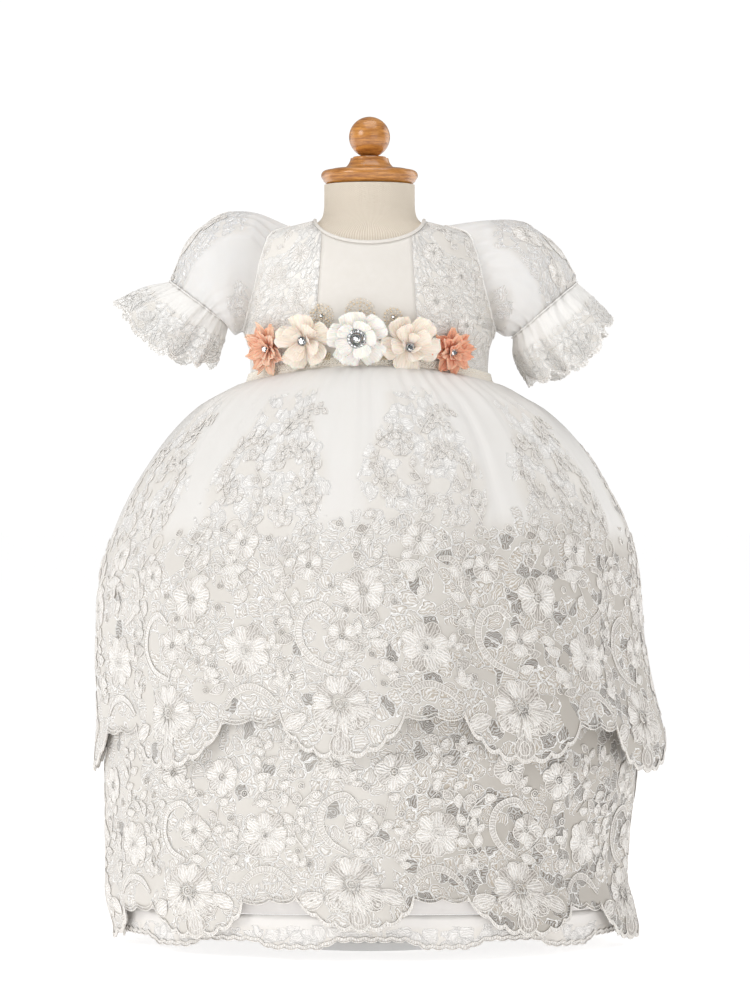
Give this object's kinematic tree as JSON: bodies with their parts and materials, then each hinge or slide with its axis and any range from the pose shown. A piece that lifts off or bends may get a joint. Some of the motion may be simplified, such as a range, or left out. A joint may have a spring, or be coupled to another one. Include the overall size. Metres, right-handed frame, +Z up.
{
  "type": "christening gown on a dress form",
  "caption": "Child's ivory lace christening gown with puffed sleeves, waist flowers and a tiered scalloped skirt, on a limbless dress form and stand.",
  "frame": {"origin": "centre of the underside of the stand's base, on the floor", "axes": "+Z up; the gown's front faces -Y; +X to a viewer's right"},
  "size_m": [0.4588, 0.3854, 0.658],
  "materials": {
    "lace": "ivory corded lace on net",
    "satin": "ivory satin with a soft sheen",
    "organza": "sheer white organza",
    "linen": "cream ribbed knit cover",
    "wood": "varnished reddish-brown wood",
    "enamel": "white enamel",
    "crystal": "clear cut stone in a silver cup",
    "pearl": "pearl and seed-bead work",
    "coral_petal": "matte coral chiffon",
    "blush_petal": "matte blush chiffon",
    "ivory_petal": "matte ivory chiffon"
  },
  "bodies": {
    "root": {"back_button_1": "satin", "back_button_2": "satin", "back_button_3": "satin", "back_button_4": "satin", "bead_fan_centre": "pearl", "bead_fan_left": "pearl", "bead_fan_right": "pearl", "bodice_back_left": "lace", "bodice_back_right": "lace", "bodice_front_centre": "satin", "bodice_front_left": "lace", "bodice_front_right": "lace", "finial": "wood", "flower_blush_left": "blush_petal", "flower_blush_right": "blush_petal", "flower_coral_left": "coral_petal", "flower_coral_right": "coral_petal", "flower_ivory_centre": "ivory_petal", "form_torso": "linen", "gem_blush_left": "crystal", "gem_blush_right": "crystal", "gem_coral_left": "crystal", "gem_coral_right": "crystal", "gem_ivory_centre": "crystal", "neck_binding": "satin", "neck_cap": "wood", "petticoat_back": "satin", "petticoat_edging_back": "lace", "petticoat_edging_front": "lace", "petticoat_front": "satin", "skirt_lower_back": "lace", "skirt_lower_front": "lace", "skirt_upper_back": "lace", "skirt_upper_front": "lace", "sleeve_frill_left": "lace", "sleeve_frill_right": "lace", "sleeve_left": "organza", "sleeve_right": "organza", "stand_base": "enamel", "stand_pole": "enamel", "waist_trim": "lace"}
  },
  "joints": []
}
